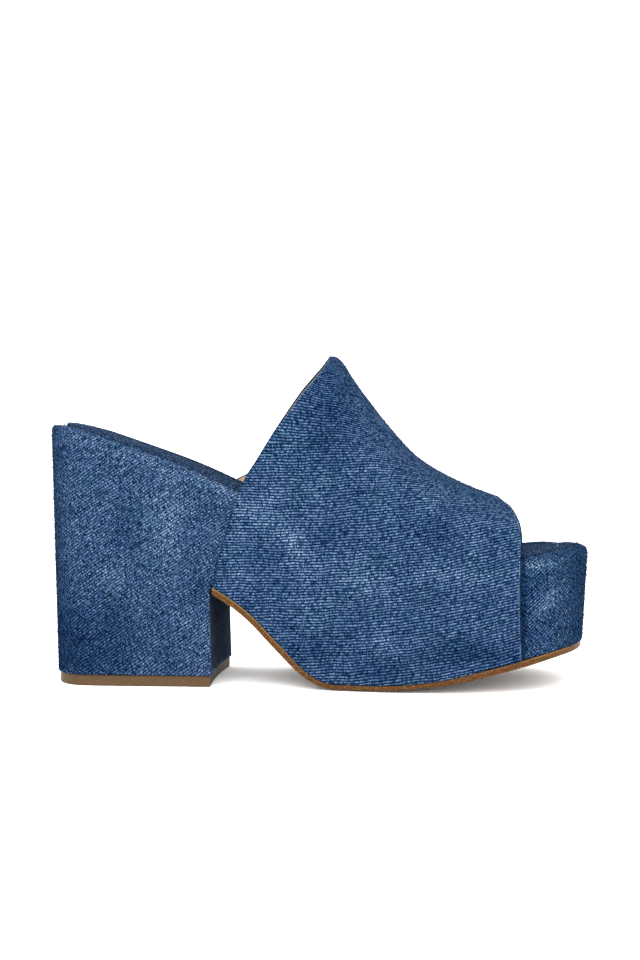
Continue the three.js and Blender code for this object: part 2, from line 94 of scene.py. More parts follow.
class Graph:
    """Adds and links the nodes of one node tree."""

    def __init__(self, tree: bpy.types.NodeTree) -> None:
        """Keeps the tree that the nodes go into."""
        self.tree = tree

    def feed(self, socket: Socket, value: Feed) -> None:
        """Links a socket to an input, or sets the input's own value.

        Args:
            socket: The input.
            value: A socket to link, or the value to set.
        """
        if isinstance(value, bpy.types.NodeSocket):
            self.tree.links.new(value, socket)
        else:
            socket.default_value = value

    def node(self, kind: str, inputs: dict[str, Feed] | None = None, **settings: object) -> bpy.types.Node:
        """Adds a node.

        Args:
            kind: Blender's name for the kind of node.
            inputs: What each named input gets.
            **settings: The node's own properties.

        Returns:
            The new node.
        """
        node = self.tree.nodes.new(kind)
        for name, value in settings.items():
            setattr(node, name, value)
        for name, value in (inputs or {}).items():
            self.feed(node.inputs[name], value)
        return node

    def math(self, operation: str, *values: Feed, clamp: bool = False) -> Socket:
        """Adds a Math node.

        Args:
            operation: What it does.
            *values: Its inputs, in order.
            clamp: Whether the result is held between 0 and 1.

        Returns:
            Its result.
        """
        node = self.node("ShaderNodeMath", operation=operation, use_clamp=clamp)
        for socket, value in zip(node.inputs, values):
            self.feed(socket, value)
        return node.outputs[0]

    def mix(self, share: Feed, first: Feed, second: Feed) -> Socket:
        """Mixes two colours.

        Args:
            share: How much of the second, 0 to 1.
            first: The first colour.
            second: The second colour.

        Returns:
            The mixed colour.
        """
        node = self.node("ShaderNodeMix", data_type="RGBA")
        self.feed(node.inputs["Factor"], share)
        for socket, value in ((node.inputs[6], first), (node.inputs[7], second)):
            self.feed(socket, (*value, 1.0) if isinstance(value, tuple) else value)
        return node.outputs[2]

    def band(self, value: Feed, low: Feed, high: Feed, out_low: float = 0.0, out_high: float = 1.0) -> Socket:
        """Maps a range to another one, smoothly and held at both ends.

        Args:
            value: What is mapped.
            low: Where the range starts.
            high: Where it ends.
            out_low: The result at its start.
            out_high: The result at its end.

        Returns:
            The mapped value.
        """
        node = self.node("ShaderNodeMapRange", interpolation_type="SMOOTHSTEP")
        for socket, part in zip(node.inputs, (value, low, high, out_low, out_high)):
            self.feed(socket, part)
        return node.outputs[0]

    def noise(self, place: Feed, scale: float, detail: float = 2.0, rough: float = 0.5) -> Socket:
        """Adds a noise texture.

        Args:
            place: Where it is read.
            scale: How fine it is.
            detail: How many finer layers it has.
            rough: How strong they are.

        Returns:
            Its value, about 0.5 on average.
        """
        inputs = {"Vector": place, "Scale": scale, "Detail": detail, "Roughness": rough}
        return self.node("ShaderNodeTexNoise", inputs).outputs["Fac"]

    def vector(self, x: Feed, y: Feed, z: Feed = 0.0) -> Socket:
        """Joins three numbers into a vector."""
        return self.node("ShaderNodeCombineXYZ", {"X": x, "Y": y, "Z": z}).outputs[0]

    def attribute(self, name: str) -> Socket:
        """Reads a number that the mesh holds at each vertex."""
        return self.node("ShaderNodeAttribute", attribute_name=name).outputs["Fac"]

    def solid(self) -> Socket:
        """The place on the object, in metres."""
        return self.node("ShaderNodeTexCoord").outputs["Object"]

    def scaled(self, vector: Socket, scale: Feed) -> Socket:
        """Multiplies a vector by a number.

        Args:
            vector: The vector.
            scale: The number.

        Returns:
            The scaled vector.
        """
        node = self.node("ShaderNodeVectorMath", operation="SCALE")
        self.feed(node.inputs[0], vector)
        self.feed(node.inputs["Scale"], scale)
        return node.outputs[0]

    def bump(self, shader: bpy.types.Node, height: Feed, strength: float, depth: float) -> None:
        """Gives a shader a relief.

        Args:
            shader: The shader.
            height: How high each place stands, 0 to 1.
            strength: How strongly the relief shows.
            depth: How deep it is, in millimetres.
        """
        node = self.node("ShaderNodeBump", {"Height": height, "Strength": strength, "Distance": depth * MM})
        self.feed(shader.inputs["Normal"], node.outputs["Normal"])


class Group:
    """A shader node group with named inputs and outputs."""

    def __init__(self, name: str, inputs: dict[str, float | str], outputs: tuple[str, ...]) -> None:
        """Makes the group's sockets.

        Args:
            name: The group's name.
            inputs: Each input's default, or "vector" for a vector.
            outputs: The outputs' names, all numbers.
        """
        self.tree = bpy.data.node_groups.new(name, "ShaderNodeTree")
        for label, default in inputs.items():
            kind = "NodeSocketVector" if default == "vector" else "NodeSocketFloat"
            socket = self.tree.interface.new_socket(label, in_out="INPUT", socket_type=kind)
            if kind == "NodeSocketFloat":
                socket.default_value = default
        for label in outputs:
            self.tree.interface.new_socket(label, in_out="OUTPUT", socket_type="NodeSocketFloat")
        self.graph = Graph(self.tree)
        self.source = self.tree.nodes.new("NodeGroupInput").outputs
        self.result = self.tree.nodes.new("NodeGroupOutput").inputs

    def place(self, graph: Graph, inputs: dict[str, Feed]) -> bpy.types.Node:
        """Places the group in a material.

        Args:
            graph: The material's graph.
            inputs: What each named input gets.

        Returns:
            The group's node there.
        """
        node = graph.node("ShaderNodeGroup", node_tree=self.tree)
        for name, value in inputs.items():
            graph.feed(node.inputs[name], value)
        return node


class TwillGroup(Group):
    """Ribs of worn twill: rows of pale dashes, broken by the yarns that cross them and by specks.

    Scales are in waves a millimetre of cloth, and gains say how far a part lightens or darkens it.
    """

    WAVE_SCALE, WAVE_GAIN, WOBBLE_SCALE = 0.09, 3.0, 0.55
    RIB_GAIN, DASH_MEAN = 2.2, 0.25
    DASH_STEP, DASH_EDGES = 5.7, (0.3, 0.66)
    WEFT_SCALE, WEFT_STRETCH, WEFT_GAIN = 0.9, (1.5, 0.5), 1.2
    SPECK_SCALE, SPECK_ROUGH, SPECK_GAIN, SPECK_RELIEF = 2.1, 0.75, 3.2, 0.6

    def __init__(self) -> None:
        """Builds the ribs from the weave coordinates, x along a rib and y across the ribs."""
        inputs = {"Weave": "vector", "Pitch": 1.13, "Dash": 1.2, "Broken": 0.5, "Wander": 0.48, "Rib": 1.0,
                  "Grain": 1.0}
        super().__init__("Twill ribs", inputs, ("Light", "Height"))
        g, source = self.graph, self.source
        spot = g.scaled(source["Weave"], 1 / MM)
        parts = g.node("ShaderNodeSeparateXYZ", {"Vector": spot})
        along, across = parts.outputs["X"], parts.outputs["Y"]
        crown, row = self._crown(spot, across)
        step = g.math("DIVIDE", along, source["Dash"])
        dash_place = g.vector(step, g.math("MULTIPLY", row, self.DASH_STEP))
        dash = g.band(g.noise(dash_place, 1.0, 1.0), *self.DASH_EDGES)
        ways = zip((along, across), self.WEFT_STRETCH)
        weft = g.noise(g.vector(*(g.math("MULTIPLY", way, by) for way, by in ways)), self.WEFT_SCALE, 1.0)
        speck = g.noise(spot, self.SPECK_SCALE, 2.0, self.SPECK_ROUGH)
        whole = g.math("SUBTRACT", 1.0, source["Broken"])
        yarn = g.math("MULTIPLY", crown, g.math("MULTIPLY_ADD", dash, source["Broken"], whole))
        middle = g.math("MULTIPLY_ADD", source["Broken"], self.DASH_MEAN, -0.5)
        gain = g.math("MULTIPLY", source["Rib"], self.RIB_GAIN)
        rib_light = g.math("MULTIPLY", g.math("ADD", yarn, middle), gain)
        grain = g.math("ADD", self._centred(speck, self.SPECK_GAIN), self._centred(weft, self.WEFT_GAIN))
        g.feed(self.result["Light"], g.math("MULTIPLY_ADD", grain, source["Grain"], rib_light))
        g.feed(self.result["Height"], g.math("ADD", yarn, g.math("MULTIPLY", speck, self.SPECK_RELIEF)))

    def _crown(self, spot: Socket, across: Socket) -> tuple[Socket, Socket]:
        """Draws the ribs, which sway a little.

        Args:
            spot: The place on the cloth, in millimetres.
            across: How far across the ribs it is.

        Returns:
            How near the place is to its rib's crown, 0 to 1, and the rib's number.
        """
        g, source = self.graph, self.source
        wave = g.math("SUBTRACT", g.noise(spot, self.WAVE_SCALE, 1.0), 0.5)
        wobble = g.math("SUBTRACT", g.noise(spot, self.WOBBLE_SCALE, 1.0), 0.5)
        sway = g.math("MULTIPLY", g.math("MULTIPLY_ADD", wave, self.WAVE_GAIN, wobble), source["Wander"])
        rib = g.math("ADD", g.math("DIVIDE", across, source["Pitch"]), sway)
        wheel = g.math("COSINE", g.math("MULTIPLY", rib, 2 * math.pi))
        return g.math("MULTIPLY_ADD", wheel, -0.5, 0.5), g.math("FLOOR", rib)

    def _centred(self, value: Socket, gain: float) -> Socket:
        """Scales a value that is 0.5 on average, so that it is 0 on average."""
        return self.graph.math("MULTIPLY_ADD", value, gain, -gain / 2)


class TintGroup(Group):
    """Slow drift of a dyed cloth's hue: between its own, a greener and a more violet blue."""

    def __init__(self) -> None:
        """Builds the drift from a place on the object."""
        super().__init__("Dye drift", {"Place": "vector", "Scale": 70.0}, ("Green", "Violet"))
        g, source = self.graph, self.source
        drift = g.noise(g.scaled(source["Place"], source["Scale"]), 1.0, 2.0, 0.6)
        g.feed(self.result["Green"], g.band(drift, 0.48, 0.3))
        g.feed(self.result["Violet"], g.band(drift, 0.52, 0.7))


INDIGO: tuple[Shade, ...] = (
    (0, 3, 28), (0, 20, 56), (4, 38, 80), (14, 52, 98), (30, 69, 118), (50, 88, 138), (70, 108, 158),
    (98, 136, 186), (128, 166, 214), (160, 194, 236), (206, 226, 248),
)
DYE_DRIFTS = (("Green", 0.35, (-9, 3, -11)), ("Violet", 0.2, (9, -5, 3)))
# SHADED_YARN is the colour of painted shade on the upper's edges.
WORN_YARN, FOLDED_YARN, SHADED_YARN = (132, 168, 212), (140, 152, 150), (14, 26, 44)


@dataclass(frozen=True)
class Denim:
    """Indigo twill, washed lighter on the yarns' crowns and where the cloth is rubbed.

    tone is the cloth's mean brightness, 0 to 255, contrast how far its yarns stand out from that, and cloud
    how far its wear drifts. pitch and dash are a rib's width and its dashes' length, and relief is how high
    it stands, in millimetres. broken, rib and grain say how strongly the dashes, ribs and specks show, and
    hem draws the upper's folded edges. shades are the dye's colours, from the darkest yarn to the palest,
    cast is what their red, green and blue are moved by, and lit how much brighter the light makes them.
    HIGH is in metres above the floor, and FOLD, TURN, WORN and SHADED in millimetres from a folded edge.
    """

    name: str
    tone: float = 79.0
    contrast: float = 0.97
    pitch: float = 1.13
    dash: float = 1.15
    broken: float = 0.7
    rib: float = 0.82
    grain: float = 1.2
    relief: float = 0.18
    cloud: float = 0.5
    hem: bool = False
    shades: tuple[Shade, ...] = INDIGO
    cast: Shade = (9, 4, -1)
    lit: float = 3.88

    HIGH, FOLD, TURN = (0.106, 0.119), (0.75, 0.45), (0.22, 0.05)
    WORN, SHADED = (0.62, 0.4), (0.3, 0.16)

    def material(self, twill: TwillGroup, tint: TintGroup) -> bpy.types.Material:
        """Builds the material.

        Args:
            twill: The group that draws the ribs.
            tint: The group that drifts the dye.

        Returns:
            The material, which reads the mesh's weave map and its wash attribute of washes and painted shade.
        """
        made, g, shader = new_material(self.name, roughness=1.0, gloss=0.0)
        weave = g.node("ShaderNodeUVMap", uv_map="weave").outputs["UV"]
        ribs = twill.place(g, {"Weave": weave, "Pitch": self.pitch, "Dash": self.dash, "Broken": self.broken,
                               "Rib": self.rib, "Grain": self.grain})
        solid = g.solid()
        drift = g.math("MULTIPLY_ADD", g.noise(solid, 90.0, 3.0, 0.6), self.cloud, 1 - self.cloud / 2)
        # The wash attribute holds washed places and painted shade.
        wash_and_shade = g.math("ADD", g.attribute("wash_and_shade"), drift)
        yarn = g.math("MULTIPLY_ADD", ribs.outputs["Light"], self.contrast, 1.0)
        tone = g.math("MULTIPLY", g.math("MULTIPLY", wash_and_shade, yarn), self.tone)
        colour = self._ramp(g, tone)
        dye = tint.place(g, {"Place": solid})
        for label, share, shift in DYE_DRIFTS:
            colour = g.mix(g.math("MULTIPLY", dye.outputs[label], share), colour, self._ramp(g, tone, shift))
        if self.hem:
            colour = self._hem(g, colour)
        g.feed(shader.inputs["Base Color"], colour)
        g.bump(shader, ribs.outputs["Height"], 0.7, self.relief)
        return made

    def _dyed(self, shade: Shade) -> Colour:
        """The colour that looks like a shade in the stage's light."""
        return tuple(c / self.lit for c in srgb(*shade))

    def _ramp(self, g: Graph, tone: Socket, drift: Shade = (0, 0, 0)) -> Socket:
        """Colours a brightness with the dye.

        Args:
            g: The material's graph.
            tone: The brightness, 0 to 255.
            drift: How far the dye's red, green and blue are moved.

        Returns:
            The colour.
        """
        means = [sum(shade) / 3 for shade in self.shades]
        low, high = means[0], means[-1]
        share = g.math("DIVIDE", g.math("SUBTRACT", tone, low), high - low)
        ramp = g.node("ShaderNodeValToRGB", {"Fac": share})
        stops = ramp.color_ramp.elements
        for _ in range(len(self.shades) - len(stops)):
            stops.new(0.5)
        for stop, shade, mean in zip(stops, self.shades, means):
            moved = tuple(min(max(c + own + d, 0), 255) for c, own, d in zip(shade, self.cast, drift))
            stop.position = (mean - low) / (high - low)
            stop.color = (*self._dyed(moved), 1)
        return ramp.outputs["Color"]

    def _hem(self, g: Graph, colour: Socket) -> Socket:
        """Adds the folded edges: worn pale along the front, and pale with a dark turn along the high back.

        Args:
            g: The material's graph.
            colour: The cloth's colour.

        Returns:
            The colour with the edges.
        """
        solid = g.solid()
        high = g.band(g.node("ShaderNodeSeparateXYZ", {"Vector": solid}).outputs["Z"], *self.HIGH)
        back, front = g.attribute("back"), g.attribute("front")
        fold = g.math("MULTIPLY", g.band(back, *self.FOLD), high)
        # turn is painted shade: the dark inner side of the high back edge.
        turn = g.math("MULTIPLY", g.band(back, *self.TURN), g.math("MULTIPLY_ADD", high, 0.6, 0.35))
        worn = g.band(g.noise(solid, 210.0, 3.0, 0.7), 0.38, 0.6, 0.1, 0.75)
        pale = g.math("MULTIPLY", g.band(front, *self.WORN), worn)
        # shaded is painted shade on the front edge's roll, where it turns into the gap.
        shaded = g.math("MULTIPLY", g.band(front, *self.SHADED), 0.85)
        colour = g.mix(pale, colour, self._dyed(WORN_YARN))
        colour = g.mix(g.math("MULTIPLY", fold, 0.7), colour, self._dyed(FOLDED_YARN))
        return g.mix(g.math("MAXIMUM", turn, shaded), colour, self._dyed(SHADED_YARN))


@dataclass(frozen=True)
class Fibre:
    """Loose cotton fibres, each of its own shade between two."""

    name: str
    dark: Colour
    pale: Colour

    def material(self) -> bpy.types.Material:
        """Builds the material, which reads each fibre's shade from the mesh."""
        made, g, shader = new_material(self.name, roughness=1.0, gloss=0.0)
        g.feed(shader.inputs["Base Color"], g.mix(g.attribute("shade"), self.dark, self.pale))
        return made


@dataclass(frozen=True)
class Leather:
    """Fine-grained lining leather."""

    name: str
    colour: Colour
    shade: Colour

    def material(self) -> bpy.types.Material:
        """Builds the material."""
        made, g, shader = new_material(self.name, roughness=0.62)
        solid = g.solid()
        pores = g.node("ShaderNodeTexVoronoi", {"Vector": solid, "Scale": 1400.0}).outputs["Distance"]
        g.feed(shader.inputs["Base Color"], g.mix(g.noise(solid, 180.0, 4.0), self.colour, self.shade))
        g.bump(shader, pores, 0.4, 0.05)
        return made


@dataclass(frozen=True)
class SoleEdge:
    """Cut and stained edge of a leather sole: a mottled middle between two paler borders."""

    name: str
    border: Colour
    middle: Colour
    stain: Colour
    dark: Colour

    def material(self) -> bpy.types.Material:
        """Builds the material, which reads how high each vertex is in the sole."""
        made, g, shader = new_material(self.name, roughness=0.5)
        solid = g.solid()
        height = g.attribute("height")
        rough = g.noise(solid, 620.0, 4.0, 0.75)
        fleck = g.noise(solid, 1500.0, 2.0, 0.7)
        streak = g.noise(solid, 160.0, 3.0)
        middle = g.mix(g.band(rough, 0.38, 0.62), self.middle, self.stain)
        middle = g.mix(g.band(fleck, 0.48, 0.66, 0.0, 0.5), middle, self.border)
        up = g.node("ShaderNodeSeparateXYZ", {"Vector": solid}).outputs["Z"]
        edge = g.math("ADD", g.band(height, 0.08, 0.2, 0.6, 0.0), g.band(height, 0.76, 0.9))
        edge = g.math("MULTIPLY", edge, g.band(up, 0.003, 0.02, 0.15, 0.9))
        blend = g.mix(g.math("MULTIPLY", edge, g.band(streak, 0.2, 0.5)), middle, self.border)
        deep = g.band(g.attribute("tread"), 0.0, 1.0)
        g.feed(shader.inputs["Base Color"], g.mix(deep, blend, self.dark))
        g.bump(shader, rough, 0.5, 0.15)
        return made


@dataclass(frozen=True)
class Rubber:
    """Dull moulded rubber with a fine speckle."""

    name: str
    colour: Colour
    shade: Colour

    def material(self) -> bpy.types.Material:
        """Builds the material."""
        made, g, shader = new_material(self.name, roughness=0.58)
        speckle = g.noise(g.solid(), 900.0, 3.0)
        g.feed(shader.inputs["Base Color"], g.mix(g.band(speckle, 0.3, 0.75), self.colour, self.shade))
        g.bump(shader, speckle, 0.35, 0.06)
        return made


def new_material(name: str, roughness: float,
                 gloss: float = 0.1) -> tuple[bpy.types.Material, Graph, bpy.types.Node]:
    """Makes a material that holds one Principled shader.

    Args:
        name: The material's name.
        roughness: The shader's roughness.
        gloss: How strongly it reflects.

    Returns:
        The material, its graph and its shader.
    """
    made = bpy.data.materials.new(name)
    made.use_nodes = True
    shader = made.node_tree.nodes["Principled BSDF"]
    shader.inputs["Roughness"].default_value = roughness
    shader.inputs["Specular IOR Level"].default_value = gloss
    return made, Graph(made.node_tree), shader


@dataclass
class Solid:
    """The corners and triangles of one node of the frame."""

    points: np.ndarray
    faces: np.ndarray

    @classmethod
    def of(cls, node: bpy.types.Object) -> "Solid":
        """Reads a node and joins its corners.

        Args:
            node: The frame's object.

        Returns:
            Its solid.
        """
        bm = bmesh.new()
        bm.from_mesh(node.data)
        bmesh.ops.remove_doubles(bm, verts=bm.verts, dist=2e-6)
        bm.verts.index_update()
        points = np.array([v.co for v in bm.verts])
        faces = np.array([[v.index for v in f.verts] for f in bm.faces if len(f.verts) == 3])
        bm.free()
        return cls(points, faces)

    def normals(self) -> np.ndarray:
        """The unit normal of each triangle."""
        a, b, c = (self.points[self.faces[:, k]] for k in range(3))
        cross = np.cross(b - a, c - a)
        return cross / np.maximum(np.linalg.norm(cross, axis=1, keepdims=True), 1e-15)

    def smooth_part(self, seed: int, limit: float) -> np.ndarray:
        """The triangles that join a seed without a sharp edge between.

        Args:
            seed: The triangle to start from.
            limit: The widest turn between two triangles, in degrees.

        Returns:
            The triangles' numbers.
        """
        normal, least = self.normals(), math.cos(math.radians(limit))
        sharing: dict[tuple[int, int], list[int]] = {}
        for number, face in enumerate(self.faces):
            for k in range(3):
                sharing.setdefault(tuple(sorted((face[k], face[k - 1]))), []).append(number)
        found, waiting = {seed}, [seed]
        while waiting:
            here = waiting.pop()
            face = self.faces[here]
            for k in range(3):
                for other in sharing[tuple(sorted((face[k], face[k - 1])))]:
                    if other not in found and normal[here] @ normal[other] > least:
                        found.add(other)
                        waiting.append(other)
        return np.array(sorted(found))


class Sheet:
    """A face of a solid as rows of corners, read smoothly at any place."""

    def __init__(self, solid: Solid, faces: np.ndarray) -> None:
        """Walks the face's triangles row by row, from its back edge to its front edge.

        Args:
            solid: The solid.
            faces: The triangles of the face.
        """
        near: dict[int, set[int]] = {}
        count: dict[int, int] = {}
        for face in solid.faces[faces]:
            for k in range(3):
                near.setdefault(face[k], set()).update((face[k - 1], face[k - 2]))
                count[face[k]] = count.get(face[k], 0) + 1
        used: dict[tuple[int, int], int] = {}
        for face in solid.faces[faces]:
            for k in range(3):
                pair = tuple(sorted((face[k], face[k - 1])))
                used[pair] = used.get(pair, 0) + 1
        rim: dict[int, list[int]] = {}
        for (a, b), times in used.items():
            if times == 1:
                rim.setdefault(a, []).append(b)
                rim.setdefault(b, []).append(a)
        corners = [p for p in rim if count[p] <= 2]
        start = min((p for p in corners if solid.points[p][1] < 0), key=lambda p: solid.points[p][0])
        row = self._back_row(solid, rim, corners, start)
        rows, seen = [row], set(row)
        while True:
            row = self._next_row(row, near, seen)
            if row is None:
                break
            rows.append(row)
            seen.update(row)
        self.points = solid.points[np.array(rows)]

    @staticmethod
    def _back_row(solid: Solid, rim: dict, corners: list[int], start: int) -> list[int]:
        """Follows the rim from one back corner to the other, over the crest."""
        ways = [[start, step] for step in rim[start]]
        for way in ways:
            while way[-1] not in corners:
                way.append(next(p for p in rim[way[-1]] if p != way[-2]))
        return max(ways, key=lambda way: solid.points[way][:, 2].max() - abs(solid.points[way[-1]][0] -
                                                                             solid.points[start][0]))

    @staticmethod
    def _next_row(row: list[int], near: dict, seen: set[int]) -> list[int] | None:
        """The row of corners beside the last one, or None after the front edge."""
        fresh = [near[p] - seen for p in row]
        if not fresh[len(row) // 2]:
            return None
        inner = [next(iter(fresh[k - 1] & fresh[k])) for k in range(1, len(row))]
        if len(fresh[0] - {inner[0]}) == 1:
            return [next(iter(fresh[0] - {inner[0]})), *inner]
        return [*inner, next(iter(fresh[-1] - {inner[-1]}))]

    def at(self, rows: np.ndarray, columns: np.ndarray) -> np.ndarray:
        """Reads the sheet on a net of places.

        Args:
            rows: Places from the back edge, 0, to the front edge, 1, one row each or one for each column.
            columns: Places from one lower edge, 0, over the crest to the other, 1.

        Returns:
            The points, by row and column.
        """
        along = self._spline(self.points.transpose(1, 0, 2), columns)
        if rows.ndim == 1:
            return self._spline(along.transpose(1, 0, 2), rows)
        net = [self._spline(along[k][:, None], rows[:, k])[:, 0] for k in range(len(columns))]
        return np.array(net).transpose(1, 0, 2)

    @staticmethod
    def _spline(rows: np.ndarray, places: np.ndarray) -> np.ndarray:
        """Reads rows of points at places from 0 to 1, on a smooth curve through them."""
        last = len(rows) - 1
        at = np.clip(places, 0, 1) * last
        base = np.minimum(at.astype(int), last - 1)
        t = (at - base)[:, None, None]
        padded = np.concatenate([2 * rows[:1] - rows[1:2], rows, 2 * rows[-1:] - rows[-2:-1]])
        p0, p1, p2, p3 = (padded[base + k] for k in range(4))
        return 0.5 * (2 * p1 + (p2 - p0) * t + (2 * p0 - 5 * p1 + 4 * p2 - p3) * t ** 2
                      + (3 * p1 - p0 - 3 * p2 + p3) * t ** 3)


@dataclass(frozen=True)
class Patch:
    """A washed, or darker, place on the outer side's cloth, fainter on the inner side; some darker ones are
    painted shade. Millimetres.
    """

    x: float
    z: float
    wide: float
    high: float
    strength: float
    tilt: float = 0.0

    SIDES, FADES = (-8.0, 20.0), (1.0, 0.35)

    def weigh(self, points: np.ndarray) -> np.ndarray:
        """How strongly it works at each point.

        Args:
            points: Points in metres.

        Returns:
            The strength there.
        """
        turn = math.radians(self.tilt)
        dx, dz = points[:, 0] / MM - self.x, points[:, 2] / MM - self.z
        a = (dx * math.cos(turn) + dz * math.sin(turn)) / self.wide
        b = (dz * math.cos(turn) - dx * math.sin(turn)) / self.high
        side = np.interp(points[:, 1] / MM, self.SIDES, self.FADES)
        return self.strength * side * np.exp(-(a * a + b * b))


UPPER_WASH = (
    Patch(68.5, 60, 4.5, 9, 0.3, 20), Patch(53, 71, 15, 3.5, 0.2, -30), Patch(47, 62, 3, 15, 0.12),
    Patch(58, 53, 5, 4, -0.16), Patch(60, 77, 5, 5, 0.12), Patch(98, 45, 13, 5, 0.26, -22),
    Patch(74, 31, 3, 10, 0.16), Patch(82, 62, 4, 7, -0.14), Patch(84, 116, 9, 20, -0.2),
    Patch(80, 100, 6, 5, -0.12), Patch(124, 65, 10, 5, -0.16), Patch(124, 78, 10, 4, 0.06),
    Patch(138, 47, 24, 3.5, 0.12), Patch(144, 17, 22, 6, -0.2), Patch(76, 18, 13, 7, -0.18),
    Patch(110, 10, 16, 5, -0.14), Patch(106, 22, 3, 10, 0.1), Patch(48, 46, 5, 4, 0.12),
    Patch(152, 60, 5, 16, -0.06),
)
# Heel cover: washed places; the dark ones at the back edge, x -36, and low at the back, x -19, are painted
# shade.
HEEL_WASH_AND_SHADE = (
    Patch(16.5, 66, 5.5, 20, 0.22), Patch(-8, 44, 8, 5, 0.1), Patch(-2, 67, 7, 11, -0.14),
    Patch(-36, 55, 8, 80, -0.34), Patch(-19, 14, 25, 22, -0.32), Patch(28, 45, 6, 9, -0.14),
    Patch(33, 20, 4, 9, 0.12), Patch(8, 93, 30, 3, 0.12, -18), Patch(41, 81, 6, 4, 0.22, -30),
)
# Toe cover: washed places, painted shadow at x 160 beside the upper's front edge, and painted shade at the
# tip, x 186.
TOE_WASH_AND_SHADE = (
    Patch(170.5, 36.5, 8, 3.6, 0.45, 42), Patch(168, 51.4, 7, 1.7, 0.7, 6), Patch(186, 45, 5, 30, -0.22),
    Patch(160, 40, 2.2, 60, -0.45),
)


# Angles in degrees: the widest turn between two triangles of a flat face, and the least at a rounded edge
FLAT_FACE, SHARP_EDGE = 30, 42


def mesh_object(name: str, points: np.ndarray, faces: list, smooth: bool = True) -> bpy.types.Object:
    """Makes a mesh object at the origin.

    Args:
        name: The piece's name.
        points: Its corners, in metres.
        faces: Its faces, as corner numbers.
        smooth: Whether its faces are shaded smoothly.

    Returns:
        The object.
    """
    mesh = bpy.data.meshes.new(name)
    mesh.from_pydata([tuple(p) for p in points], [], [tuple(int(k) for k in f) for f in faces])
    mesh.update()
    mesh.polygons.foreach_set("use_smooth", [smooth] * len(mesh.polygons))
    made = bpy.data.objects.new(name, mesh)
    bpy.context.scene.collection.objects.link(made)
    return made


def corners_of(made: bpy.types.Object) -> np.ndarray:
    """The corners of an object's mesh, in metres."""
    flat = np.zeros(len(made.data.vertices) * 3, np.float32)
    made.data.vertices.foreach_get("co", flat)
    return flat.reshape(-1, 3).astype(float)


def set_weave(made: bpy.types.Object, weave: np.ndarray) -> None:
    """Stores the weave coordinates as the mesh's map.

    Args:
        made: The piece.
        weave: Along and across the ribs at each vertex, in metres.
    """
    layer = made.data.uv_layers.new(name="weave")
    loops = np.zeros(len(made.data.loops), np.int32)
    made.data.loops.foreach_get("vertex_index", loops)
    layer.data.foreach_set("uv", weave[loops].astype(np.float32).ravel())


def set_number(made: bpy.types.Object, name: str, values: np.ndarray) -> None:
    """Stores a number at each vertex."""
    layer = made.data.attributes.new(name, "FLOAT", "POINT")
    layer.data.foreach_set("value", values.astype(np.float32))


def smooth_copy(node: bpy.types.Object, name: str, round_mm: float, levels: int) -> bpy.types.Object:
    """Copies a solid of the frame with rounded edges and a finer, smooth surface.

    Args:
        node: The frame's object.
        name: The new piece's name.
        round_mm: How wide its sharp edges are rounded.
        levels: How often its faces are divided.

    Returns:
        The new piece.
    """
    solid = Solid.of(node)
    made = mesh_object(name, solid.points, list(solid.faces))
    bm = bmesh.new()
    bm.from_mesh(made.data)
    bmesh.ops.join_triangles(bm, faces=bm.faces, angle_face_threshold=math.radians(FLAT_FACE),
                             angle_shape_threshold=math.pi)
    bm.to_mesh(made.data)
    bm.free()
    edge = made.modifiers.new("edge", "BEVEL")
    edge.width, edge.segments = round_mm * MM, 2
    edge.limit_method, edge.angle_limit = "ANGLE", math.radians(SHARP_EDGE)
    fine = made.modifiers.new("fine", "SUBSURF")
    fine.levels = fine.render_levels = levels
    apply_modifiers(made)
    made.data.polygons.foreach_set("use_smooth", [True] * len(made.data.polygons))
    return made


def settle(made: bpy.types.Object, slot: Slot, stands_for: str | None, *finishes: bpy.types.Material) -> None:
    """Gives a piece its finishes, ties it to the shoe and hides the solid that it stands for.

    Args:
        made: The piece.
        slot: Not used.
        stands_for: The node that it replaces, or None where another piece does.
        *finishes: Its materials, in order.
    """
    for finish in finishes:
        made.data.materials.append(finish)
    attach(made, BODY)
    if stands_for:
        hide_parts(stands_for)


def apply_modifiers(made: bpy.types.Object) -> None:
    """Turns an object's modifiers into its mesh."""
    shaped = made.evaluated_get(bpy.context.evaluated_depsgraph_get())
    old, made.data = made.data, bpy.data.meshes.new_from_object(shaped)
    made.data.name = made.name
    made.modifiers.clear()
    bpy.data.meshes.remove(old)


def hull(points: np.ndarray) -> np.ndarray:
    """The convex outline of points seen from above.

    Args:
        points: Points, of which x and y are read.

    Returns:
        The outline's corners in order, counter-clockwise.
    """
    order = sorted({(round(p[0], 6), round(p[1], 6)) for p in points})
    halves = []
    for run in (order, order[::-1]):
        half: list[tuple[float, float]] = []
        for p in run:
            while len(half) > 1 and ((half[-1][0] - half[-2][0]) * (p[1] - half[-2][1])
                                     <= (half[-1][1] - half[-2][1]) * (p[0] - half[-2][0])):
                half.pop()
            half.append(p)
        halves += half[:-1]
    return np.array(halves)


def wrap(points: np.ndarray, tilt: float) -> np.ndarray:
    """Weave coordinates of cloth that goes round an outline and over its top edge.

    Args:
        points: The piece's corners.
        tilt: How far the ribs rise along the outline, in degrees.

    Returns:
        Along and across the ribs at each corner, in metres.
    """
    ring = hull(points)
    ahead = np.roll(ring, -1, axis=0)
    step = ahead - ring
    length = np.linalg.norm(step, axis=1)
    start = np.concatenate([[0], np.cumsum(length)[:-1]])
    best, along = np.full(len(points), np.inf), np.zeros(len(points))
    for k in range(len(ring)):
        share = np.clip(((points[:, :2] - ring[k]) @ step[k]) / length[k] ** 2, 0, 1)
        gap = np.linalg.norm(points[:, :2] - ring[k] - share[:, None] * step[k], axis=1)
        closer = gap < best
        best[closer], along[closer] = gap[closer], (start[k] + share * length[k])[closer]
    up = points[:, 2] + best
    turn = math.radians(tilt)
    ribs = along * math.cos(turn) + up * math.sin(turn)
    return np.stack([ribs, up * math.cos(turn) - along * math.sin(turn)], 1)


